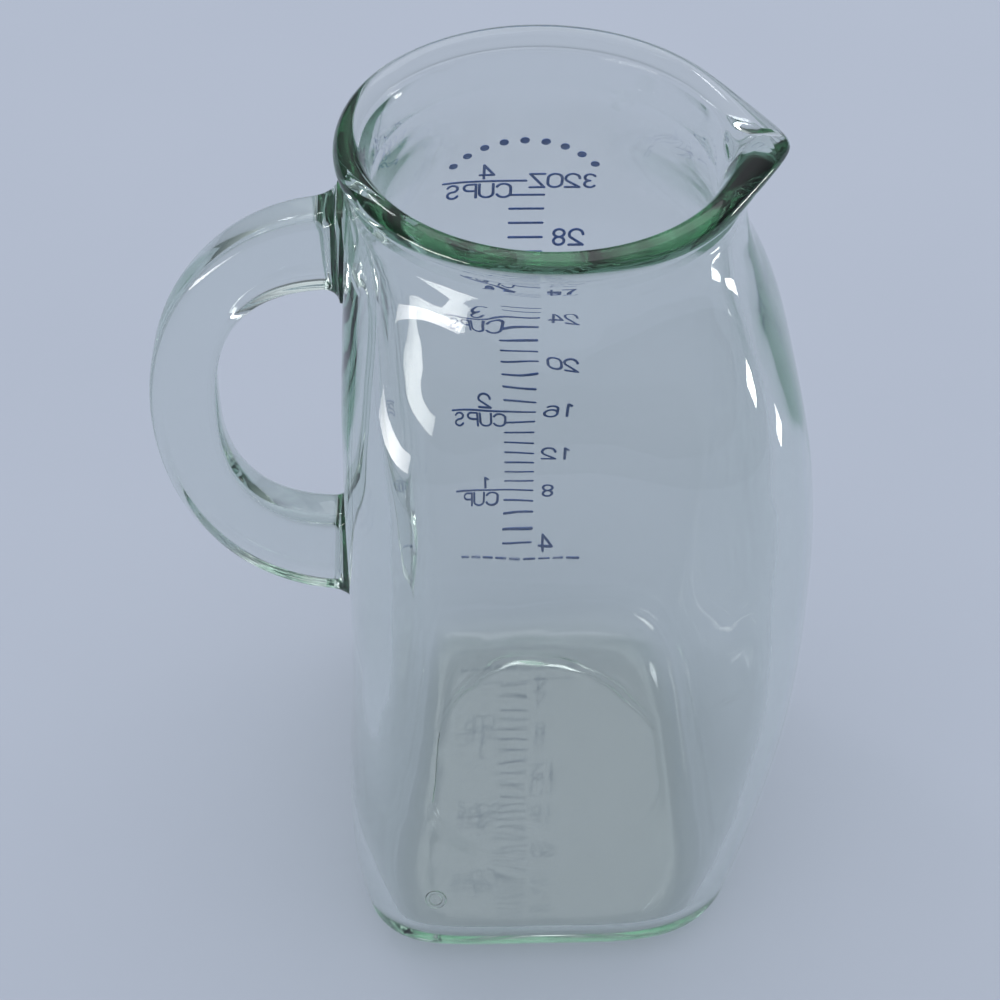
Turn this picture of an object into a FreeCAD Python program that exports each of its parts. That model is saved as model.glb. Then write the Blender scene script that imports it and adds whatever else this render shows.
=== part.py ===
"""Glass pitcher for mixing baby formula, with a fired enamel scale. Millimetres.

+X points to the pouring lip, -X to the handle, +Y to the printed panel and +Z up. The origin lies
on the surface that the pitcher stands on, under the centre of its round mouth.
"""
import FreeCAD, Part
import math
import os

Vector = FreeCAD.Vector

# Heights above the table
height = 185.0
shoulder_height = 139.0
belly_height = 93.0
low_height = 46.0
heel_height = 18.0
round_start_height = 130.0

# Drops from the top of the rim
neck_drop = 9.5
lip_start_drop = 17.0

# Mouth, rounded rim and neck
rim_radius = 39.0
bead_half_width = 3.0
bead_half_height = 2.2
neck_radius = 37.3

# Body, measured from the axis of the mouth: handle side, lip side, and the two flat panels
handle_side_foot = 35.1
handle_side_low = 39.4
handle_side = 38.6
lip_side_foot = 44.5
lip_side_low = 55.0
lip_side_belly = 56.5
lip_side_shoulder = 48.8
panel_foot = 52.3
panel_low = 52.3
panel_belly = 50.8
panel_shoulder = 49.0
widest_line_offset = 4.5
handle_side_power = 5.0
lip_side_power = 3.5

# Glass
wall = 5.6
neck_wall = 4.0
floor_thickness = 6.0
outer_heel_radius = 10.0
inner_heel_radius = 8.0

# Rings that the mould leaves in the foot: a small mark, and the seam round its round bottom plate
mark_x = -22.0
mark_y = -34.0
mark_radius = 2.8
mark_width = 1.2
mark_depth = 0.4
seam_x = 3.0
seam_y = 8.5
seam_radius = 31.0
seam_width = 1.0
seam_depth = 0.3

# Pouring lip
lip_reach = 45.0
lip_tip_angle = math.radians(3.5)
groove_mouth_half_width = 8.0
groove_mouth_depth = 5.0
groove_throat_half_width = 3.6
groove_throat_depth = 2.5
groove_throat_run = 3.0
groove_tip_half_width = 2.0
groove_tip_depth = 1.5

# Handle, a flat plate bent into a D
handle_top_drop = 15.5
handle_foot_height = 69.5
handle_reach = 39.0
handle_power = 2.05
handle_thickness = 10.0
handle_edge_radius = 3.0
handle_top_bar = 18.0
handle_grip_bar = 13.6
handle_foot_bar = 22.0
hole_power = 2.5

# Enamel scale, in fluid ounces
ounce_volume = 29573.5
full_ounces = 32
first_ounce = 4
ounces_per_numeral = 4
ounces_per_cup = 8
enamel_lift = 0.06
enamel_thickness = 0.13
stroke = 0.65
glyph_width = 3.0
glyph_height = 4.6
glyph_gap = 0.75
four_stem_share = 0.72
two_hook_degrees = 35
three_gap_degrees = 30
six_gap_degrees = 55
round_gap_degrees = 20
tick_centre_x = -0.45
tick_length = 7.1
numeral_gap = 2.3
full_text_x = 14.3
cup_rule_end_x = -18.9
cup_rule_gap = 0.9
cup_numeral_centre_x = -9.2
cup_word_centre_x = -11.1
cup_text_clearance = 0.7
arch_rise = 7.6
arch_half_width = 15.2
arch_centre_x = -1.6
arch_clearance = 6.2
arch_dots = 9
arch_dot_radius = 1.0
foot_rule_drop = 4.8
foot_rule_half_width = 16.5
foot_rule_centre_x = -1.0
foot_rule_dashes = 9
foot_rule_gap = 1.3

# How finely the formulas are sampled
heel_degrees = (0, 30, 60, 90)
outer_bead_degrees = (-25, 0, 25, 50, 80)
inner_bead_degrees = (205, 180, 155, 130, 100)
section_points = 60
film_first_point, film_last_point = 7, 23
body_step = 11.0
volume_step = 1.0

neck_height = height - neck_drop
lip_start_height = height - lip_start_drop
bead_radius = rim_radius - bead_half_width
bead_height = height - bead_half_height
neck_top_height = bead_height - 2 * bead_half_height
lip_angle = math.acos(rim_radius / lip_reach)
cut_depth = 2 * max(panel_foot, panel_low, panel_belly, panel_shoulder)


def profile(*stations):
    """Smooth reach against height through (height, reach) stations, held beyond the last one."""
    heights = [z for z, _ in stations]
    curve = Part.BSplineCurve()
    curve.interpolate(Points=[Vector(z, reach, 0) for z, reach in stations], Parameters=heights)
    return lambda z: curve.value(min(max(z, heights[0]), heights[-1])).y


handle_reach_at = profile((0, handle_side_foot), (heel_height, handle_side_low), (low_height, handle_side_low),
                          (belly_height, handle_side), (shoulder_height, handle_side),
                          (neck_height, neck_radius), (neck_top_height, neck_radius))
lip_reach_at = profile((0, lip_side_foot), (low_height, lip_side_low), (belly_height, lip_side_belly),
                       (shoulder_height, lip_side_shoulder), (neck_height, neck_radius),
                       (neck_top_height, neck_radius))
panel_reach_at = profile((0, panel_foot), (low_height, panel_low), (belly_height, panel_belly),
                         (shoulder_height, panel_shoulder), (neck_height, neck_radius),
                         (neck_top_height, neck_radius))


def smooth_step(value, start, end):
    share = min(max((value - start) / (end - start), 0.0), 1.0)
    return share * share * (3 - 2 * share)


def body_point(angle, z, inset):
    """Point of the wall at one angle and height: a squarish section that turns round at the neck."""
    roundness = smooth_step(z, round_start_height, neck_height)
    centre = widest_line_offset * (1 - roundness)
    if math.cos(angle) < 0:
        reach = handle_reach_at(z) + centre
        power = handle_side_power
    else:
        reach = lip_reach_at(z) - centre
        power = lip_side_power
    power += (2 - power) * roundness
    along = abs(math.cos(angle)) / (reach - inset)
    across = abs(math.sin(angle)) / (panel_reach_at(z) - inset)
    radius = (along ** power + across ** power) ** (-1 / power)
    return Vector(centre + radius * math.cos(angle), radius * math.sin(angle), z)


def lip_factor(angle, z):
    """How far the beak of the lip stands out: two lines tangent to the round rim meet at its tip."""
    beak = lip_angle * smooth_step(z, lip_start_height, bead_height)
    off_tip = math.sqrt(math.remainder(angle, 2 * math.pi) ** 2 + lip_tip_angle ** 2) - lip_tip_angle
    return 1 / math.cos(max(beak - off_tip, 0.0))


def section(point_at):
    """Closed smooth outline through point_at(angle), with the same knots for every section."""
    angles = [2 * math.pi * i / section_points for i in range(section_points)]
    curve = Part.BSplineCurve()
    curve.interpolate(Points=[point_at(angle) for angle in angles], PeriodicFlag=True,
                      Parameters=[float(i) for i in range(section_points + 1)])
    return Part.Wire(curve.toShape())


def flared(point, angle, share):
    """The point moved out by its share of the beak."""
    factor = 1 + (lip_factor(angle, point.z) - 1) * share
    return Vector(point.x * factor, point.y * factor, point.z)


def heel_rows(base, radius, inset):
    """Rows of a quarter-round heel, from the flat at height base up to where it meets the wall."""
    def row(turn):
        z = base + radius * (1 - math.cos(turn))
        return lambda angle: body_point(angle, z, inset + radius * (1 - math.sin(turn)))
    return [row(math.radians(degrees)) for degrees in heel_degrees]


def wall_rows(start, point_at):
    """Rows of point_at(angle, z) up the wall from start to under the rim, without the one at start."""
    def row(z):
        return lambda angle: point_at(angle, z)
    steps = max(int((neck_top_height - start) / body_step), 1)
    return [row(start + (neck_top_height - start) * i / steps) for i in range(1, steps + 1)]


def bead_row(degrees):
    """Row of the rim where the bead's own oval has turned by these degrees from its outermost line."""
    turn = math.radians(degrees)
    radius = bead_radius + bead_half_width * math.cos(turn)
    z = bead_height + bead_half_height * math.sin(turn)
    return lambda angle: flared(Vector(radius * math.cos(angle), radius * math.sin(angle), z), angle,
                                (1 + math.cos(turn)) / 2)


def skin_rows(inset):
    """Rows of the outer skin set in by inset, from the foot up to under the rim."""
    def wall_point(angle, z):
        return flared(body_point(angle, z, inset), angle, 1)
    return heel_rows(0, outer_heel_radius, inset) + wall_rows(outer_heel_radius, wall_point)


def solid_through(rows):
    return Part.makeLoft([section(row) for row in rows], True, False)


def hollow_point(angle, z):
    """Point of the inner skin below the rim: the heel round the flat floor, then the wall."""
    drop = max(floor_thickness + inner_heel_radius - z, 0)
    heel = inner_heel_radius - math.sqrt(inner_heel_radius ** 2 - drop ** 2)
    thickness = wall + (neck_wall - wall) * smooth_step(z, round_start_height, neck_height)
    return body_point(angle, z, thickness + heel)


def hollow_shape():
    """Solid of the space inside, from the flat floor up to the rim's crest."""
    return solid_through(heel_rows(floor_thickness, inner_heel_radius, wall)
                         + wall_rows(floor_thickness + inner_heel_radius, hollow_point)
                         + [bead_row(degrees) for degrees in inner_bead_degrees])


def foot_ring(x, y, radius, width, depth):
    """Cutter for a ring pressed up into the foot."""
    centre = Vector(x, y, 0)
    return Part.makeCylinder(radius, depth, centre).cut(Part.makeCylinder(radius - width, depth, centre))


def groove_section(x, half_width, depth):
    """Circle across the lip that cuts the rim's top to this half width and depth."""
    radius = (half_width ** 2 + depth ** 2) / (2 * depth)
    return Part.Wire(Part.makeCircle(radius, Vector(x, 0, height - depth + radius), Vector(1, 0, 0)))


def lip_groove():
    """Cutter for the groove that guides the pour: wide inside the rim and narrow at the tip."""
    inner_edge = bead_radius - bead_half_width
    throat = inner_edge + groove_throat_run
    return Part.makeLoft([
        groove_section(inner_edge - groove_throat_run, groove_mouth_half_width, groove_mouth_depth),
        groove_section(inner_edge, groove_mouth_half_width, groove_mouth_depth),
        groove_section(throat, groove_throat_half_width, groove_throat_depth),
        groove_section(lip_reach, groove_tip_half_width, groove_tip_depth),
        groove_section(lip_reach + groove_throat_run, groove_tip_half_width, groove_tip_depth)], True, False)


def vessel_shape(outside):
    rings = [foot_ring(mark_x, mark_y, mark_radius, mark_width, mark_depth),
             foot_ring(seam_x, seam_y, seam_radius, seam_width, seam_depth)]
    return outside.cut([hollow_shape(), lip_groove()] + rings)


def half_oval(low, high, reach, power):
    """Face in the XZ plane between two heights: a squarish oval about the handle side's wall."""
    centre_x = -handle_side
    centre_height = (low + high) / 2
    half_height = (high - low) / 2
    points = []
    for i in range(section_points):
        angle = 2 * math.pi * i / section_points
        along = abs(math.cos(angle)) / reach
        up = abs(math.sin(angle)) / half_height
        radius = (along ** power + up ** power) ** (-1 / power)
        points.append(Vector(centre_x + radius * math.cos(angle), 0,
                             centre_height + radius * math.sin(angle)))
    curve = Part.BSplineCurve()
    curve.interpolate(Points=points, PeriodicFlag=True)
    return Part.Face(Part.Wire(curve.toShape()))


def handle_shape(vessel_outside):
    depth = Vector(0, handle_thickness, 0)
    low, high = handle_foot_height, height - handle_top_drop
    plate = half_oval(low, high, handle_reach, handle_power)
    hole = half_oval(low + handle_foot_bar, high - handle_top_bar, handle_reach - handle_grip_bar,
                     hole_power)
    start = Vector(0, -handle_thickness / 2, 0)
    solid = plate.translated(start).extrude(depth).cut(hole.translated(start).extrude(depth))
    rims = [edge for edge in solid.Edges if abs(abs(edge.CenterOfMass.y) - handle_thickness / 2) < 1e-3]
    return solid.makeFillet(handle_edge_radius, rims).cut(vessel_outside)


def cavity_area(z):
    """Area of the hollow at this height."""
    points = [hollow_point(2 * math.pi * i / section_points, z) for i in range(section_points)]
    return sum(a.x * b.y - b.x * a.y for a, b in zip(points, points[1:] + points[:1])) / 2


def ounce_heights():
    """Height of the surface of the liquid for each whole ounce up to full_ounces."""
    heights = []
    volume = 0.0
    z = floor_thickness
    while len(heights) < full_ounces and z < bead_height:
        volume += cavity_area(z + volume_step / 2) * volume_step
        z += volume_step
        if volume >= (len(heights) + 1) * ounce_volume:
            excess = volume - (len(heights) + 1) * ounce_volume
            heights.append(z - excess / cavity_area(z))
    return heights


def open_curve(row):
    """The row's curve over the printed panel, with the knots that the whole section has there."""
    points = range(film_first_point, film_last_point + 1)
    curve = Part.BSplineCurve()
    curve.interpolate(Points=[row(2 * math.pi * i / section_points) for i in points],
                      Parameters=[float(i) for i in points])
    return curve.toShape()


def enamel_film():
    """The thin layer on the outside of the printed panel from which the marks are cut."""
    outlines = []
    for rows in zip(skin_rows(-enamel_lift), skin_rows(-enamel_lift - enamel_thickness)):
        inner, outer = [open_curve(row) for row in rows]
        ends = [Part.makeLine(inner.valueAt(at), outer.valueAt(at))
                for at in (film_first_point, film_last_point)]
        outlines.append(Part.Wire(Part.__sortEdges__([inner, ends[1], outer, ends[0]])))
    return Part.makeLoft(outlines, True, False)


def bar(start, end):
    """Round-ended straight stroke between two points of the page, deep enough to pass the panel."""
    along = end - start
    length = along.Length
    solid = Part.makeBox(length, stroke, cut_depth, Vector(0, -stroke / 2, 0))
    solid.rotate(Vector(0, 0, 0), Vector(0, 0, 1), math.degrees(math.atan2(along.y, along.x)))
    caps = [Part.makeCylinder(stroke / 2, cut_depth, point) for point in (start, end)]
    return solid.translated(start).multiFuse(caps)


def bow(centre, radius, start, end):
    """Round-ended curved stroke about centre, from start to end in degrees."""
    span = end - start
    outer = Part.makeCylinder(radius + stroke / 2, cut_depth, Vector(0, 0, 0), Vector(0, 0, 1), span)
    ring = outer.cut(Part.makeCylinder(radius - stroke / 2, cut_depth))
    ring.rotate(Vector(0, 0, 0), Vector(0, 0, 1), start)
    ring = ring.translated(centre)
    if span == 360:
        return ring
    ends = [centre + Vector(radius * math.cos(math.radians(turn)), radius * math.sin(math.radians(turn)), 0)
            for turn in (start, end)]
    return ring.multiFuse([Part.makeCylinder(stroke / 2, cut_depth, point) for point in ends])


def glyph(character):
    """One figure or capital letter, drawn on the page from its lower left corner."""
    width, tall = glyph_width, glyph_height
    round_ = width / 2
    small = tall / 4
    top = Vector(round_, tall - round_, 0)
    foot = Vector(round_, round_, 0)
    upper = Vector(round_, tall - small, 0)
    lower = Vector(round_, small, 0)
    corner = {name: Vector(x, y, 0) for name, x, y in (
        ("sw", 0, 0), ("se", width, 0), ("nw", 0, tall), ("ne", width, tall))}
    west = (Vector(0, round_, 0), Vector(0, tall - round_, 0))
    east = (Vector(width, round_, 0), Vector(width, tall - round_, 0))
    hook = math.radians(two_hook_degrees)
    neck = top + Vector(round_ * math.cos(hook), -round_ * math.sin(hook), 0)
    stem = Vector(four_stem_share * width, 0, 0)
    gap = round_gap_degrees
    strokes = {
        "0": lambda: [bow(top, round_, 0, 180), bow(foot, round_, 180, 360), bar(*west), bar(*east)],
        "1": lambda: [bar(foot - Vector(0, round_, 0), top + Vector(0, round_, 0)),
                      bar(top + Vector(0, round_, 0), top + Vector(-round_ / 2, round_ / 2, 0))],
        "2": lambda: [bow(top, round_, -two_hook_degrees, 180), bar(neck, corner["sw"]),
                      bar(corner["sw"], corner["se"])],
        "3": lambda: [bow(upper, small, -90, 180 - three_gap_degrees),
                      bow(lower, small, three_gap_degrees - 180, 90)],
        "4": lambda: [bar(stem, stem + Vector(0, tall, 0)),
                      bar(stem + Vector(0, tall, 0), Vector(0, small, 0)),
                      bar(Vector(0, small, 0), Vector(width, small, 0))],
        "6": lambda: [bow(foot, round_, 0, 360), bar(*west),
                      bow(top, round_, six_gap_degrees, 180)],
        "8": lambda: [bow(upper, small, 0, 360), bow(lower, small, 0, 360)],
        "C": lambda: [bow(top, round_, gap, 180), bow(foot, round_, 180, 360 - gap), bar(*west)],
        "P": lambda: [bar(corner["sw"], corner["nw"]), bow(upper, small, -90, 90),
                      bar(corner["nw"], upper + Vector(0, small, 0)),
                      bar(Vector(0, tall / 2, 0), upper - Vector(0, small, 0))],
        "S": lambda: [bow(upper, small, gap, 270), bow(lower, small, gap - 180, 90)],
        "U": lambda: [bow(foot, round_, 180, 360), bar(west[0], corner["nw"]), bar(east[0], corner["ne"])],
        "Z": lambda: [bar(corner["nw"], corner["ne"]), bar(corner["ne"], corner["sw"]),
                      bar(corner["sw"], corner["se"])],
    }
    strokes["O"] = strokes["0"]
    first, *rest = strokes[character]()
    return first.multiFuse(rest).removeSplitter()


glyphs = {character: glyph(character) for character in "0123468OZCUPS"}


def on_panel(page_solid, x, z):
    """A page drawing stood up behind the panel, its left edge at x, read from outside."""
    solid = page_solid.copy()
    solid.rotate(Vector(0, 0, 0), Vector(1, 0, 0), 90)
    solid.rotate(Vector(0, 0, 0), Vector(0, 0, 1), 180)
    return solid.translated(Vector(x, 0, z))


def text(words, x, z):
    """Words on the panel, their left edge at x as read, their middle at height z."""
    pitch = glyph_width + glyph_gap
    return [on_panel(glyphs[character], x - i * pitch, z - glyph_height / 2)
            for i, character in enumerate(words)]


def text_width(words):
    return len(words) * (glyph_width + glyph_gap) - glyph_gap


def level_bar(x_from, x_to, z):
    """Level mark across the panel between two places."""
    return on_panel(bar(Vector(0, 0, 0), Vector(abs(x_from - x_to), 0, 0)), max(x_from, x_to), z)


def cup_marks(ounce, z, rule_from, marks):
    """Long rule at a cup level, with the number of cups above it and the word below."""
    cups = ounce // ounces_per_cup
    word = "CUP" if cups == 1 else "CUPS"
    rise = (glyph_height + stroke) / 2 + cup_text_clearance
    marks["cup_rules"].append(level_bar(rule_from, cup_rule_end_x, z))
    marks["cup_numerals"] += text(str(cups), cup_numeral_centre_x + glyph_width / 2, z + rise)
    marks["cup_words"] += text(word, cup_word_centre_x + text_width(word) / 2, z - rise)


def scale_marks(levels):
    """Solids standing behind the panel for the scale, by node name."""
    marks = {name: [] for name in ("ounce_ticks", "ounce_numerals", "ounce_unit", "cup_rules",
                                   "cup_numerals", "cup_words")}
    tick_left = tick_centre_x + tick_length / 2
    tick_right = tick_centre_x - tick_length / 2
    for ounce in range(first_ounce, full_ounces):
        z = levels[ounce - 1]
        if ounce % ounces_per_numeral == 0:
            words = str(ounce)
            marks["ounce_numerals"] += text(words, tick_left + numeral_gap + text_width(words), z)
        if ounce % ounces_per_cup == 0:
            cup_marks(ounce, z, tick_left, marks)
        else:
            marks["ounce_ticks"].append(level_bar(tick_left, tick_right, z))
    z = levels[full_ounces - 1]
    words = str(full_ounces)
    unit_x = full_text_x - text_width(words) - glyph_gap
    marks["ounce_numerals"] += text(words, full_text_x, z)
    marks["ounce_unit"] = text("OZ", unit_x, z)
    cup_marks(full_ounces, z, unit_x - text_width("OZ") - cup_rule_gap, marks)
    return marks


def dot_arch(levels):
    """Row of dots along an arc above the full mark."""
    radius = (arch_half_width ** 2 + arch_rise ** 2) / (2 * arch_rise)
    half_span = math.asin(arch_half_width / radius)
    centre_z = levels[full_ounces - 1] + arch_clearance + arch_rise - radius
    dot = Part.makeCylinder(arch_dot_radius, cut_depth)
    turns = [half_span * (2 * i / (arch_dots - 1) - 1) for i in range(arch_dots)]
    return [on_panel(dot, arch_centre_x - radius * math.sin(turn), centre_z + radius * math.cos(turn))
            for turn in turns]


def foot_rule(levels):
    """Row of dashes below the lowest mark."""
    z = levels[first_ounce - 1] - foot_rule_drop
    pitch = (2 * foot_rule_half_width + foot_rule_gap) / foot_rule_dashes
    start = foot_rule_centre_x + foot_rule_half_width
    return [level_bar(start - i * pitch, start - (i + 1) * pitch + foot_rule_gap, z)
            for i in range(foot_rule_dashes)]


os.makedirs("parts", exist_ok=True)
outside = solid_through(skin_rows(0) + [bead_row(degrees) for degrees in outer_bead_degrees])
levels = ounce_heights()
marks = scale_marks(levels)
marks["dot_arch"] = dot_arch(levels)
marks["foot_rule"] = foot_rule(levels)
film = enamel_film()
shapes = {"glass_vessel": vessel_shape(outside), "glass_handle": handle_shape(outside)}
for name, solids in marks.items():
    shapes[name] = Part.makeCompound([mark for solid in solids for mark in film.common(solid).Solids])
for name, shape in shapes.items():
    shape.exportStep("parts/" + name + ".step")
    print(name, len(shape.Solids), "solids", round(shape.Volume, 1), "mm3",
          "valid" if shape.isValid() else "INVALID")
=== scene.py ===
"""Glass pitcher for mixing baby formula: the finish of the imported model, a table and studio light.

Metres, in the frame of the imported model: +X to the pouring lip, -X to the handle, +Y to the printed
panel, +Z up, with the origin on the table under the centre of the mouth.
"""
import math

import bmesh
import bpy
import numpy as np
from mathutils import Matrix, Vector


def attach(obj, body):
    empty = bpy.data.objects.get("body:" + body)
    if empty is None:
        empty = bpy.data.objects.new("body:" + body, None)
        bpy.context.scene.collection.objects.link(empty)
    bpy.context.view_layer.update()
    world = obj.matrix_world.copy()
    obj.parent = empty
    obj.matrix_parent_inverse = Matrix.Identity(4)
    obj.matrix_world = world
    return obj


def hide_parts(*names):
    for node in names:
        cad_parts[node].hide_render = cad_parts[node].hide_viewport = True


MM = 0.001

# The pitcher's own sizes, in millimetres: heights above the table and drops from the rim's top. The
# height and the lip side's reach are a hair under the model's, to stay inside the box of its facets.
HEIGHT = 184.95
SHOULDER_HEIGHT, BELLY_HEIGHT, LOW_HEIGHT, HEEL_HEIGHT = 139.0, 93.0, 46.0, 18.0
ROUND_START_HEIGHT = 130.0
NECK_DROP, LIP_START_DROP = 9.5, 17.0
RIM_RADIUS, NECK_RADIUS = 39.0, 37.3
BEAD_HALF_WIDTH, BEAD_HALF_HEIGHT, BEAD_TOP_HALF = 3.0, 2.2, 3.4
BEAD_START, BEAD_UNDERSIDE_SHARE, BEAD_GAP = -60, 0.87, 0.3
MOUTH_ROUND_WIDTH, MOUTH_ROUND_DEPTH = 3.8, 11.0
HANDLE_SIDE_FOOT, HANDLE_SIDE_LOW, HANDLE_SIDE = 35.1, 39.4, 38.6
LIP_SIDE_FOOT, LIP_SIDE_LOW, LIP_SIDE_BELLY, LIP_SIDE_SHOULDER = 44.5, 54.9, 56.4, 48.8
PANEL_FOOT, PANEL_LOW, PANEL_BELLY, PANEL_SHOULDER = 52.3, 52.3, 50.8, 49.0
WIDEST_LINE_OFFSET = 4.5
HANDLE_SIDE_POWER, LIP_SIDE_POWER = 5.0, 3.5
HANDLE_FOOT_POWER, LIP_FOOT_POWER = 6.5, 4.1
LOW_WALL, WALL, NECK_WALL, FLOOR_THICKNESS = 3.7, 5.6, 4.9, 4.2
OUTER_HEEL_RADIUS, INNER_HEEL_RADIUS = 10.0, 8.0
WALL_GROWTH_END = 93.0
MARK_PLACE, MARK_RADIUS, MARK_BEAD, MARK_FLATNESS = (-22.0, -34.0), 2.2, 0.6, 0.7

# Shallow round recess under the foot, a little off the middle
RECESS_PLACE, RECESS_RADIUS, RECESS_DEPTH, RECESS_RUN = (4.0, 8.5), 32.5, 0.6, 2.0
SEAM_DEPTH, SEAM_SPREAD = 0.3, 0.8

# Pouring lip and the groove in it: half width and depth inside the rim, at the throat and at the tip
LIP_REACH = 45.0
LIP_TIP_ANGLE = math.radians(3.5)
GROOVE_MOUTH, GROOVE_THROAT, GROOVE_TIP = (8.0, 5.0), (3.6, 2.5), (2.0, 1.5)
GROOVE_THROAT_RUN = 3.0

# Handle, and how its ends sink and flare into the wall
HANDLE_TOP_DROP, HANDLE_FOOT_HEIGHT, HANDLE_REACH, HANDLE_POWER = 15.5, 69.5, 39.0, 2.05
HANDLE_TOP_BAR, HANDLE_GRIP_BAR, HANDLE_FOOT_BAR, HOLE_POWER = 18.0, 13.6, 22.0, 2.5
HANDLE_THICKNESS, HANDLE_EDGE_RADIUS = 10.0, 3.0
ROOT_SINK, ROOT_FLARE, ROOT_RUN = 1.2, 2.0, 4.0

# Uneven inner skin round the shoulder, as pressing leaves it
WAVE_HEIGHT, WAVE_LENGTH = 0.05, 13.0

NECK_HEIGHT = HEIGHT - NECK_DROP
LIP_START_HEIGHT = HEIGHT - LIP_START_DROP
BEAD_RADIUS = RIM_RADIUS - BEAD_HALF_WIDTH
BEAD_HEIGHT = HEIGHT - BEAD_HALF_HEIGHT
NECK_TOP_HEIGHT = BEAD_HEIGHT - 2 * BEAD_HALF_HEIGHT
NECK_JOINT_HEIGHT = NECK_TOP_HEIGHT - 1
INNER_EDGE = BEAD_RADIUS - BEAD_HALF_WIDTH
LIP_ANGLE = math.acos(RIM_RADIUS / LIP_REACH)
HOLE_REACH = HANDLE_REACH - HANDLE_GRIP_BAR
HEEL_TOP = FLOOR_THICKNESS + INNER_HEEL_RADIUS

# Mesh density: points round the body, drawn together at the lip by LIP_DENSITY, and rows of points
AROUND, LIP_DENSITY = 400, 0.55
FOOT_ROWS, HEEL_ROWS, WALL_ROWS, NECK_ROWS = 110, 16, 72, 4
BEAD_ROWS, MOUTH_ROWS, INNER_WALL_ROWS = 30, 24, 90
FOOT_START, FOOT_END = 0.05, 0.97
FLOOR_SHARES = (0.97, 0.85, 0.7, 0.5, 0.3, 0.12)
HANDLE_ALONG, HANDLE_AROUND = 140, 48
MARK_AROUND, MARK_BEAD_AROUND = 48, 16
SHARP_EDGE = math.radians(40)

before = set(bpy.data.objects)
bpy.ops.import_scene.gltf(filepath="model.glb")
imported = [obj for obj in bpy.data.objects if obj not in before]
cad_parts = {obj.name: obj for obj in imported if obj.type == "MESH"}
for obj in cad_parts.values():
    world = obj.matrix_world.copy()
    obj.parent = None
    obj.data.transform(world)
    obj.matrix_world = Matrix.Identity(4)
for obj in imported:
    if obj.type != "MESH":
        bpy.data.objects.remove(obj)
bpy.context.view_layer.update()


# ---------------------------------------------------------------- shape formulas

def profile(*stations):
    """Smooth reach against height through (height, reach) stations: a natural cubic spline."""
    z, reach = np.array(stations, float).T
    step = np.diff(z)
    slope = np.diff(reach) / step
    system = np.eye(len(z))
    right = np.zeros(len(z))
    for i in range(1, len(z) - 1):
        system[i, i - 1:i + 2] = step[i - 1], 2 * (step[i - 1] + step[i]), step[i]
        right[i] = 6 * (slope[i] - slope[i - 1])
    bend = np.linalg.solve(system, right)

    def value(at):
        at = np.clip(at, z[0], z[-1])
        i = np.clip(np.searchsorted(z, at) - 1, 0, len(step) - 1)
        low, high = at - z[i], z[i + 1] - at
        return ((bend[i] * high ** 3 + bend[i + 1] * low ** 3) / (6 * step[i])
                + (reach[i] / step[i] - bend[i] * step[i] / 6) * high
                + (reach[i + 1] / step[i] - bend[i + 1] * step[i] / 6) * low)
    return value


handle_reach_at = profile((0, HANDLE_SIDE_FOOT), (HEEL_HEIGHT, HANDLE_SIDE_LOW),
                          (LOW_HEIGHT, HANDLE_SIDE_LOW), (BELLY_HEIGHT, HANDLE_SIDE),
                          (SHOULDER_HEIGHT, HANDLE_SIDE), (NECK_HEIGHT, NECK_RADIUS),
                          (NECK_TOP_HEIGHT, NECK_RADIUS))
lip_reach_at = profile((0, LIP_SIDE_FOOT), (LOW_HEIGHT, LIP_SIDE_LOW), (BELLY_HEIGHT, LIP_SIDE_BELLY),
                       (SHOULDER_HEIGHT, LIP_SIDE_SHOULDER), (NECK_HEIGHT, NECK_RADIUS),
                       (NECK_TOP_HEIGHT, NECK_RADIUS))
panel_reach_at = profile((0, PANEL_FOOT), (LOW_HEIGHT, PANEL_LOW), (BELLY_HEIGHT, PANEL_BELLY),
                         (SHOULDER_HEIGHT, PANEL_SHOULDER), (NECK_HEIGHT, NECK_RADIUS),
                         (NECK_TOP_HEIGHT, NECK_RADIUS))


def smooth_step(value, start, end):
    """Share of the way from start to end, with a smooth beginning and end."""
    share = np.clip((value - start) / (end - start), 0.0, 1.0)
    return share * share * (3 - 2 * share)


def oval(angles, along_reach, across_reach, power):
    """Distances from the centre of a squarish oval at each angle."""
    along = np.abs(np.cos(angles)) / along_reach
    across = np.abs(np.sin(angles)) / across_reach
    return (along ** power + across ** power) ** (-1 / power)


def ring_of(angles, radius, z, centre_x=0.0):
    """Points at one height, each at its angle and radius."""
    return np.column_stack((centre_x + radius * np.cos(angles), radius * np.sin(angles),
                            np.full_like(angles, z)))


def body_ring(angles, z, inset):
    """Points of the wall at one height: a squarish section that turns round towards the neck."""
    roundness = smooth_step(z, ROUND_START_HEIGHT, NECK_HEIGHT)
    centre = WIDEST_LINE_OFFSET * (1 - roundness)
    handle_half = np.cos(angles) < 0
    reach = np.where(handle_half, handle_reach_at(z) + centre, lip_reach_at(z) - centre) - inset
    upper_power = np.where(handle_half, HANDLE_SIDE_POWER, LIP_SIDE_POWER)
    foot_power = np.where(handle_half, HANDLE_FOOT_POWER, LIP_FOOT_POWER)
    power = foot_power + (upper_power - foot_power) * smooth_step(z, 0, LOW_HEIGHT)
    power = power + (2 - power) * roundness
    return ring_of(angles, oval(angles, reach, panel_reach_at(z) - inset, power), z, centre)


def flared(ring, angles, share):
    """The ring moved out by its share of the beak, two lines tangent to the rim that meet at the tip."""
    beak = LIP_ANGLE * smooth_step(ring[:, 2], LIP_START_HEIGHT, BEAD_HEIGHT)
    turn = np.remainder(angles + math.pi, 2 * math.pi) - math.pi
    off_tip = np.sqrt(turn ** 2 + LIP_TIP_ANGLE ** 2) - LIP_TIP_ANGLE
    factor = 1 + (1 / np.cos(np.maximum(beak - off_tip, 0)) - 1) * share
    return ring * np.column_stack((factor, factor, np.ones_like(factor)))


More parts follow.
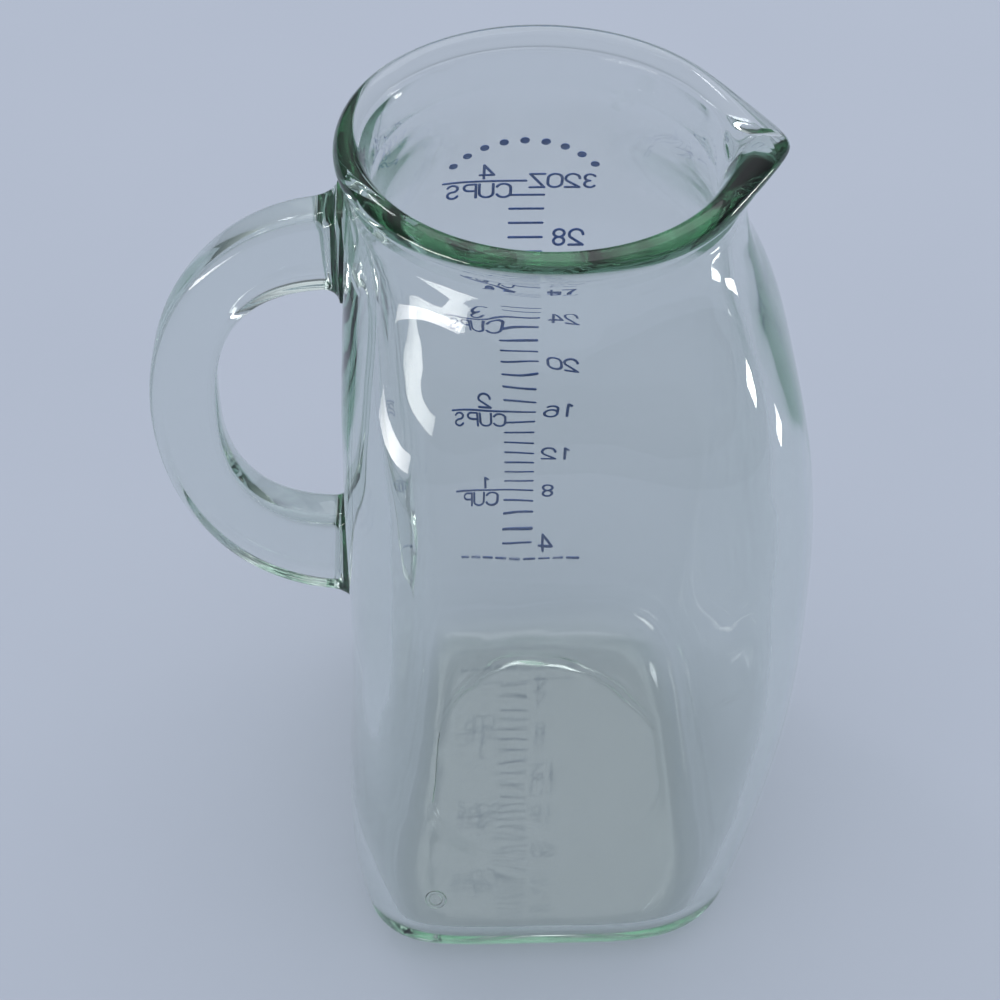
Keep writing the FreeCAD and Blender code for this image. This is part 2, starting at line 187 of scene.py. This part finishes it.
def circle_for(half_width, depth):
    """Radius and centre height of the circle that cuts the rim's top to this half width and depth."""
    radius = (half_width ** 2 + depth ** 2) / (2 * depth)
    return radius, HEIGHT - depth + radius


def groove_curves():
    """Radius and centre height of the groove's circle along X."""
    places = (INNER_EDGE - GROOVE_THROAT_RUN, INNER_EDGE, INNER_EDGE + GROOVE_THROAT_RUN, LIP_REACH,
              LIP_REACH + GROOVE_THROAT_RUN)
    sizes = (GROOVE_MOUTH, GROOVE_MOUTH, GROOVE_THROAT, GROOVE_TIP, GROOVE_TIP)
    circles = [circle_for(*size) for size in sizes]
    return (profile(*[(x, radius) for x, (radius, _) in zip(places, circles)]),
            profile(*[(x, centre) for x, (_, centre) in zip(places, circles)]))


groove_radius_at, groove_centre_at = groove_curves()


def grooved(points):
    """The rim's points lowered on to the groove where they stand above it."""
    radius = groove_radius_at(points[:, 0])
    inside = (np.abs(points[:, 1]) < radius) & (points[:, 0] > INNER_EDGE - GROOVE_THROAT_RUN)
    floor = groove_centre_at(points[:, 0]) - np.sqrt(np.maximum(radius ** 2 - points[:, 1] ** 2, 0))
    lowered = points.copy()
    lowered[:, 2] = np.where(inside, np.minimum(points[:, 2], floor), points[:, 2])
    return lowered


def hollow_ring(angles, z):
    """Ring of the inner wall with its faint waves."""
    rise = z / WAVE_LENGTH * 2 * math.pi
    wave = (np.sin(9 * angles + 2 * np.sin(0.31 * rise)) * np.sin(rise + 1.5 * np.sin(angles * 3))
            + 0.7 * np.sin(17 * angles + 0.6 * rise) * np.sin(0.43 * rise + angles * 2))
    fade = smooth_step(z, SHOULDER_HEIGHT, NECK_HEIGHT) * (1 - smooth_step(z, NECK_HEIGHT, BEAD_HEIGHT))
    thickness = (LOW_WALL + (WALL - LOW_WALL) * smooth_step(z, HEEL_TOP, WALL_GROWTH_END)
                 + (NECK_WALL - WALL) * smooth_step(z, ROUND_START_HEIGHT, NECK_HEIGHT))
    return body_ring(angles, z, thickness + WAVE_HEIGHT * wave * fade)


# ---------------------------------------------------------------- meshes

def mesh_object(name, points, faces, smooth=True):
    """Object from points in millimetres."""
    mesh = bpy.data.meshes.new(name)
    mesh.from_pydata([tuple(point) for point in np.asarray(points) * MM], [], faces)
    mesh.validate()
    mesh.polygons.foreach_set("use_smooth", [smooth] * len(mesh.polygons))
    thing = bpy.data.objects.new(name, mesh)
    bpy.context.scene.collection.objects.link(thing)
    return thing


def ring_faces(rings, around, closed_along=False):
    """Quads between rings of the same number of points, from the last to the first when closed."""
    faces = []
    for i in range(rings if closed_along else rings - 1):
        row, next_row = i * around, (i + 1) % rings * around
        for j in range(around):
            k = (j + 1) % around
            faces.append((row + j, row + k, next_row + k, next_row + j))
    return faces


def recessed(ring):
    """Points of the foot raised into its round recess."""
    off = np.hypot(ring[:, 0] - RECESS_PLACE[0], ring[:, 1] - RECESS_PLACE[1])
    lifted = ring.copy()
    lifted[:, 2] = (RECESS_DEPTH * (1 - smooth_step(off, RECESS_RADIUS - RECESS_RUN, RECESS_RADIUS))
                    + SEAM_DEPTH * np.exp(-((off - RECESS_RADIUS) / SEAM_SPREAD) ** 2))
    return lifted


def outer_rings(angles):
    """Rings of the foot with its recess, the outer heel and the wall up to the upright neck."""
    flat = body_ring(angles, 0, OUTER_HEEL_RADIUS)
    rings = [recessed(flat * share) for share in np.linspace(FOOT_START, FOOT_END, FOOT_ROWS)]
    for turn in np.linspace(0, math.pi / 2, HEEL_ROWS):
        rings.append(body_ring(angles, OUTER_HEEL_RADIUS * (1 - math.cos(turn)),
                               OUTER_HEEL_RADIUS * (1 - math.sin(turn))))
    for z in np.linspace(OUTER_HEEL_RADIUS, NECK_JOINT_HEIGHT, WALL_ROWS)[1:]:
        rings.append(flared(body_ring(angles, z, 0), angles, 1))
    return rings


def rim_rings(angles):
    """Rings of the upright neck, the bead round the rim and the long rounding of the mouth."""
    bead_line = HEIGHT - BEAD_TOP_HALF
    neck_end = bead_line - BEAD_HALF_HEIGHT * BEAD_UNDERSIDE_SHARE - BEAD_GAP
    rings = [flared(ring_of(angles, NECK_RADIUS, z), angles, 1)
             for z in np.linspace(NECK_JOINT_HEIGHT, neck_end, NECK_ROWS)[1:]]
    for turn in np.radians(np.linspace(BEAD_START, 90, BEAD_ROWS)):
        half_height = BEAD_TOP_HALF if turn > 0 else BEAD_HALF_HEIGHT
        ring = ring_of(angles, BEAD_RADIUS + BEAD_HALF_WIDTH * math.cos(turn),
                       bead_line + half_height * math.sin(turn))
        rings.append(flared(ring, angles, (1 + math.cos(turn)) / 2))
    for turn in np.radians(np.linspace(90, 180, MOUTH_ROWS)[1:]):
        ring = ring_of(angles, BEAD_RADIUS + MOUTH_ROUND_WIDTH * math.cos(turn),
                       HEIGHT - MOUTH_ROUND_DEPTH * (1 - math.sin(turn)))
        rings.append(flared(ring, angles, (1 + math.cos(turn)) / 2))
    return rings


def inner_rings(angles):
    """Rings of the inner wall, the inner heel and the floor."""
    rings = [hollow_ring(angles, z)
             for z in np.linspace(HEIGHT - MOUTH_ROUND_DEPTH, HEEL_TOP, INNER_WALL_ROWS)[1:]]
    for turn in np.linspace(math.pi / 2, 0, HEEL_ROWS)[1:]:
        rings.append(body_ring(angles, HEEL_TOP - INNER_HEEL_RADIUS * math.cos(turn),
                               LOW_WALL + INNER_HEEL_RADIUS * (1 - math.sin(turn))))
    edge = rings[-1]
    middle = ring_of(angles, 0, FLOOR_THICKNESS)
    return rings + [edge * share + middle * (1 - share) for share in FLOOR_SHARES]


def vessel_rings(angles):
    """Every ring of the vessel's skin, from the middle of the foot, up outside and down inside."""
    rings = outer_rings(angles) + rim_rings(angles) + inner_rings(angles)
    return [grooved(ring) if ring[0, 2] > LIP_START_HEIGHT else ring for ring in rings]


def build_vessel():
    """The vessel's skin, closed by fans in the middle of the foot and of the floor."""
    turns = 2 * math.pi * np.arange(AROUND) / AROUND
    angles = turns - LIP_DENSITY * np.sin(turns)
    rings = vessel_rings(angles)
    points = np.vstack(rings + [[0, 0, RECESS_DEPTH], [0, 0, FLOOR_THICKNESS]])
    faces = ring_faces(len(rings), AROUND)
    under, inside = len(points) - 2, len(points) - 1
    last = (len(rings) - 1) * AROUND
    for j in range(AROUND):
        k = (j + 1) % AROUND
        faces.append((under, k, j))
        faces.append((inside, last + j, last + k))
    return mesh_object("glass_body", points, faces)


def handle_point(turn, low, high, reach, power):
    """Point of a squarish oval about the handle side's wall, from its top (0) to its foot (1)."""
    angle = math.pi / 2 + math.pi * turn
    radius = float(oval(np.array([angle]), reach, (high - low) / 2, power)[0])
    return np.array([-HANDLE_SIDE + radius * math.cos(angle), 0.0,
                     (low + high) / 2 + radius * math.sin(angle)])


def build_handle():
    """The D handle as a bent bar whose ends sink and flare into the wall."""
    corners = 2 * math.pi * (np.arange(HANDLE_AROUND) + 0.5) / HANDLE_AROUND
    low, high = HANDLE_FOOT_HEIGHT, HEIGHT - HANDLE_TOP_DROP
    rings = []
    for step in range(HANDLE_ALONG):
        turn = (1 - math.cos(math.pi * step / (HANDLE_ALONG - 1))) / 2
        outer = handle_point(turn, low, high, HANDLE_REACH, HANDLE_POWER)
        inner = handle_point(turn, low + HANDLE_FOOT_BAR, high - HANDLE_TOP_BAR, HOLE_REACH, HOLE_POWER)
        if step in (0, HANDLE_ALONG - 1):
            outer[0] += ROOT_SINK
            inner[0] += ROOT_SINK
        middle = (outer + inner) / 2
        across = outer - inner
        half = np.linalg.norm(across) / 2
        across /= 2 * half
        near = max(1 - max(-HANDLE_SIDE - middle[0], 0) / ROOT_RUN, 0)
        flare = ROOT_FLARE * (1 - math.sqrt(1 - near ** 2))
        flat_across = half + flare - HANDLE_EDGE_RADIUS
        flat_depth = HANDLE_THICKNESS / 2 + flare - HANDLE_EDGE_RADIUS
        ring = []
        for corner in corners:
            cos_c, sin_c = math.cos(corner), math.sin(corner)
            ring.append(middle + across * (math.copysign(flat_across, cos_c) + HANDLE_EDGE_RADIUS * cos_c)
                        + np.array([0, math.copysign(flat_depth, sin_c) + HANDLE_EDGE_RADIUS * sin_c, 0]))
        rings.append(np.array(ring))
    points = np.vstack(rings)
    faces = ring_faces(len(rings), HANDLE_AROUND)
    faces.append(tuple(range(HANDLE_AROUND)))
    last = (len(rings) - 1) * HANDLE_AROUND
    faces.append(tuple(reversed(range(last, last + HANDLE_AROUND))))
    return mesh_object("handle_bar", points, faces)


def build_mark():
    """Ring that presses the mould's round mark into the foot."""
    angles = 2 * math.pi * np.arange(MARK_AROUND) / MARK_AROUND
    rings = []
    for turn in 2 * math.pi * np.arange(MARK_BEAD_AROUND) / MARK_BEAD_AROUND:
        ring = ring_of(angles, MARK_RADIUS + MARK_BEAD * math.cos(turn),
                       MARK_BEAD * math.sin(turn) * MARK_FLATNESS)
        rings.append(ring + np.array([*MARK_PLACE, 0]))
    return mesh_object("mark_ring", np.vstack(rings),
                       ring_faces(MARK_BEAD_AROUND, MARK_AROUND, closed_along=True))


def outward(thing):
    """Makes the faces of a closed mesh look outwards."""
    edit = bmesh.new()
    edit.from_mesh(thing.data)
    bmesh.ops.recalc_face_normals(edit, faces=edit.faces)
    if edit.calc_volume(signed=True) < 0:
        bmesh.ops.reverse_faces(edit, faces=edit.faces)
    edit.to_mesh(thing.data)
    edit.free()


def build_glass():
    """Body and handle as one skin, so that light crosses the joint as in one pressing."""
    body = build_vessel()
    outward(body)
    for tool, operation in ((build_handle(), "UNION"), (build_mark(), "DIFFERENCE")):
        outward(tool)
        cut = body.modifiers.new(tool.name, "BOOLEAN")
        cut.operation = operation
        cut.solver = "EXACT"
        cut.object = tool
        result = body.evaluated_get(bpy.context.evaluated_depsgraph_get())
        fused = bpy.data.meshes.new_from_object(result)
        body.modifiers.clear()
        body.data = fused
        bpy.data.objects.remove(tool)
    body.data.polygons.foreach_set("use_smooth", [True] * len(body.data.polygons))
    body.data.set_sharp_from_angle(angle=SHARP_EDGE)
    return body


# ---------------------------------------------------------------- materials

def new_material(name):
    """Empty node material, with its nodes and links."""
    material = bpy.data.materials.new(name)
    material.use_nodes = True
    material.node_tree.nodes.clear()
    return material, material.node_tree.nodes, material.node_tree.links


def noise(nodes, links, scale, detail, roughness=0.5):
    """Noise in the object's own space, its scale in blotches to the metre."""
    place = nodes.new("ShaderNodeTexCoord")
    texture = nodes.new("ShaderNodeTexNoise")
    texture.inputs["Scale"].default_value = scale
    texture.inputs["Detail"].default_value = detail
    texture.inputs["Roughness"].default_value = roughness
    links.new(place.outputs["Object"], texture.inputs["Vector"])
    return texture


def bump(nodes, links, texture, strength, distance):
    """Relief that follows a texture, its distance in metres."""
    relief = nodes.new("ShaderNodeBump")
    relief.inputs["Strength"].default_value = strength
    relief.inputs["Distance"].default_value = distance
    links.new(texture.outputs["Fac"], relief.inputs["Height"])
    return relief


def blend_of(nodes, links, texture, low, high, start=0.0, end=1.0):
    """Colour that goes from low to high where the texture goes from start to end."""
    ramp = nodes.new("ShaderNodeValToRGB")
    first, last = ramp.color_ramp.elements
    first.position, first.color = start, (*low, 1)
    last.position, last.color = end, (*high, 1)
    links.new(texture.outputs["Fac"], ramp.inputs["Fac"])
    return ramp


def finish_with(nodes, links, surface):
    """Output node that takes this surface."""
    out = nodes.new("ShaderNodeOutputMaterial")
    links.new(surface, out.inputs["Surface"])
    return out


def wear_of(nodes, links, texture, start, end, most):
    """Roughness that grows to most where the texture goes from start to end."""
    wear = nodes.new("ShaderNodeMapRange")
    wear.inputs["From Min"].default_value = start
    wear.inputs["From Max"].default_value = end
    wear.inputs["To Min"].default_value = 0.0
    wear.inputs["To Max"].default_value = most
    links.new(texture.outputs["Fac"], wear.inputs["Value"])
    return wear


def clear_for_light(nodes, links, surface, color):
    """The surface, but plainly clear to lamps and to light that a matt surface sends."""
    clear = nodes.new("ShaderNodeBsdfTransparent")
    clear.inputs["Color"].default_value = (*color, 1)
    path = nodes.new("ShaderNodeLightPath")
    either = nodes.new("ShaderNodeMath")
    either.operation = "MAXIMUM"
    links.new(path.outputs["Is Shadow Ray"], either.inputs[0])
    links.new(path.outputs["Is Diffuse Ray"], either.inputs[1])
    mix = nodes.new("ShaderNodeMixShader")
    links.new(either.outputs["Value"], mix.inputs["Fac"])
    links.new(surface, mix.inputs[1])
    links.new(clear.outputs["BSDF"], mix.inputs[2])
    return mix.outputs["Shader"]


def glass_material():
    """Pressed soda-lime glass: faint green in its thickness, with soft waves and fine wear."""
    material, nodes, links = new_material("pressed_glass")
    ripple = bump(nodes, links, noise(nodes, links, 55, 1.5, 0.4), 0.25, 0.0006)
    wear = wear_of(nodes, links, noise(nodes, links, 140, 6), 0.45, 0.8, 0.06)
    glass = nodes.new("ShaderNodeBsdfPrincipled")
    glass.inputs["Base Color"].default_value = (0.93, 0.94, 0.935, 1)
    glass.inputs["Transmission Weight"].default_value = 1.0
    glass.inputs["IOR"].default_value = 1.52
    links.new(wear.outputs["Result"], glass.inputs["Roughness"])
    links.new(ripple.outputs["Normal"], glass.inputs["Normal"])
    surface = clear_for_light(nodes, links, glass.outputs["BSDF"], (0.845, 0.85, 0.84))
    tint = nodes.new("ShaderNodeVolumeAbsorption")
    tint.inputs["Color"].default_value = (0.20, 0.55, 0.35, 1)
    tint.inputs["Density"].default_value = 8.0
    out = finish_with(nodes, links, surface)
    links.new(tint.outputs["Volume"], out.inputs["Volume"])
    return material


def enamel_material():
    """Dark blue fired enamel, a little uneven and worn thin in places."""
    material, nodes, links = new_material("fired_enamel")
    grain = noise(nodes, links, 900, 4)
    blue = blend_of(nodes, links, grain, (0.020, 0.075, 0.360), (0.050, 0.150, 0.600), 0.3, 0.75)
    relief = bump(nodes, links, grain, 0.3, 0.00005)
    paint = nodes.new("ShaderNodeBsdfPrincipled")
    paint.inputs["Roughness"].default_value = 0.35
    links.new(blue.outputs["Color"], paint.inputs["Base Color"])
    links.new(relief.outputs["Normal"], paint.inputs["Normal"])
    finish_with(nodes, links, paint.outputs["BSDF"])
    return material


def table_material():
    """Pale, matt table with hardly any pattern."""
    material, nodes, links = new_material("pale_table")
    pale = blend_of(nodes, links, noise(nodes, links, 9, 3), (0.49, 0.525, 0.61), (0.52, 0.555, 0.64))
    matt = nodes.new("ShaderNodeBsdfPrincipled")
    matt.inputs["Roughness"].default_value = 0.9
    links.new(pale.outputs["Color"], matt.inputs["Base Color"])
    finish_with(nodes, links, matt.outputs["BSDF"])
    return material


# ---------------------------------------------------------------- the object

glass = build_glass()
glass.data.materials.clear()
glass.data.materials.append(glass_material())
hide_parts("glass_vessel", "glass_handle")
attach(glass, "root")

enamel = enamel_material()
for name in ("ounce_ticks", "ounce_numerals", "ounce_unit", "cup_rules", "cup_numerals", "cup_words",
             "dot_arch", "foot_rule"):
    for material_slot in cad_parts[name].material_slots:
        material_slot.material = enamel

# ---------------------------------------------------------------- table, light and camera

TABLE_HALF, TABLE_DROP = 3000, 0.2


def build_table():
    """Wide flat table a hair below the foot."""
    signs = ((-1, -1), (1, -1), (1, 1), (-1, 1))
    corners = [(x * TABLE_HALF, y * TABLE_HALF, -TABLE_DROP) for x, y in signs]
    table = mesh_object("table", corners, [(0, 1, 2, 3)], smooth=False)
    table.data.materials.append(table_material())
    return table


build_table()


def window(name, place, target, width, height, power, color, spread=180):
    """Rectangular soft light at a place in metres, turned to the target; spread is in degrees."""
    light = bpy.data.lights.new(name, "AREA")
    light.shape = "RECTANGLE"
    light.size, light.size_y = width, height
    light.energy = power
    light.color = color
    light.spread = math.radians(spread)
    lamp = bpy.data.objects.new(name, light)
    lamp.location = place
    lamp.rotation_euler = (Vector(target) - Vector(place)).to_track_quat("-Z", "Y").to_euler()
    bpy.context.scene.collection.objects.link(lamp)


DAYLIGHT, SKY_BLUE = (1.0, 0.98, 0.95), (0.93, 0.96, 1.0)
NECK_PLACE = (0, 0, 0.17)
window("left_window", (-0.42, -0.27, 0.165), NECK_PLACE, 0.36, 0.05, 0.09, DAYLIGHT, spread=60)
window("right_card", (0.58, 0.155, 0.03), NECK_PLACE, 0.08, 0.04, 0.012, DAYLIGHT, spread=60)
window("rear_window", (-0.76, 0.76, 1.36), NECK_PLACE, 0.25, 0.25, 2.0, SKY_BLUE)
window("sky_light", (0.3, 0.4, 1.8), (0, 0, 0.1), 2.0, 2.0, 12.5, SKY_BLUE)


def room():
    """Surroundings that are dim round the horizon and bright overhead, as in a room by a window."""
    world = bpy.data.worlds.new("room")
    world.use_nodes = True
    nodes, links = world.node_tree.nodes, world.node_tree.links
    place = nodes.new("ShaderNodeTexCoord")
    parts = nodes.new("ShaderNodeSeparateXYZ")
    links.new(place.outputs["Generated"], parts.inputs["Vector"])
    ramp = nodes.new("ShaderNodeValToRGB")
    stops = ramp.color_ramp.elements
    stops[0].position, stops[0].color = 0.0, (0.10, 0.12, 0.13, 1)
    stops[1].position, stops[1].color = 0.9, (0.80, 0.84, 0.90, 1)
    middle = stops.new(0.4)
    middle.color = (0.30, 0.33, 0.36, 1)
    links.new(parts.outputs["Z"], ramp.inputs["Fac"])
    links.new(ramp.outputs["Color"], nodes["Background"].inputs["Color"])
    bpy.context.scene.world = world


room()
bpy.context.scene.view_settings.view_transform = "Standard"
# Light that is caught in the wall runs down its whole height before it leaves.
BOUNCES = 40
bpy.context.scene.cycles.max_bounces = BOUNCES
bpy.context.scene.cycles.transmission_bounces = BOUNCES
bpy.context.scene.cycles.glossy_bounces = BOUNCES

# The camera stands in front, a little to the handle side, and looks down at the mouth.
CAMERA_PLACE = (-0.02315, -0.33470, 0.41361)
CAMERA_YAW = math.radians(-2.764)
CAMERA_PITCH = math.radians(43.786)
CAMERA_ROLL = math.radians(1.271)
SENSOR_WIDTH, FOCAL_LENGTH_PER_FRAME = 36.0, 2.2

camera_data = bpy.data.cameras.new("camera")
camera_data.sensor_width = SENSOR_WIDTH
camera_data.lens = SENSOR_WIDTH * FOCAL_LENGTH_PER_FRAME
camera = bpy.data.objects.new("camera", camera_data)
turn = (Matrix.Rotation(CAMERA_YAW, 4, "Z") @ Matrix.Rotation(math.pi / 2 - CAMERA_PITCH, 4, "X")
        @ Matrix.Rotation(CAMERA_ROLL, 4, "Z"))
camera.matrix_world = Matrix.Translation(CAMERA_PLACE) @ turn
bpy.context.scene.collection.objects.link(camera)
bpy.context.scene.camera = camera
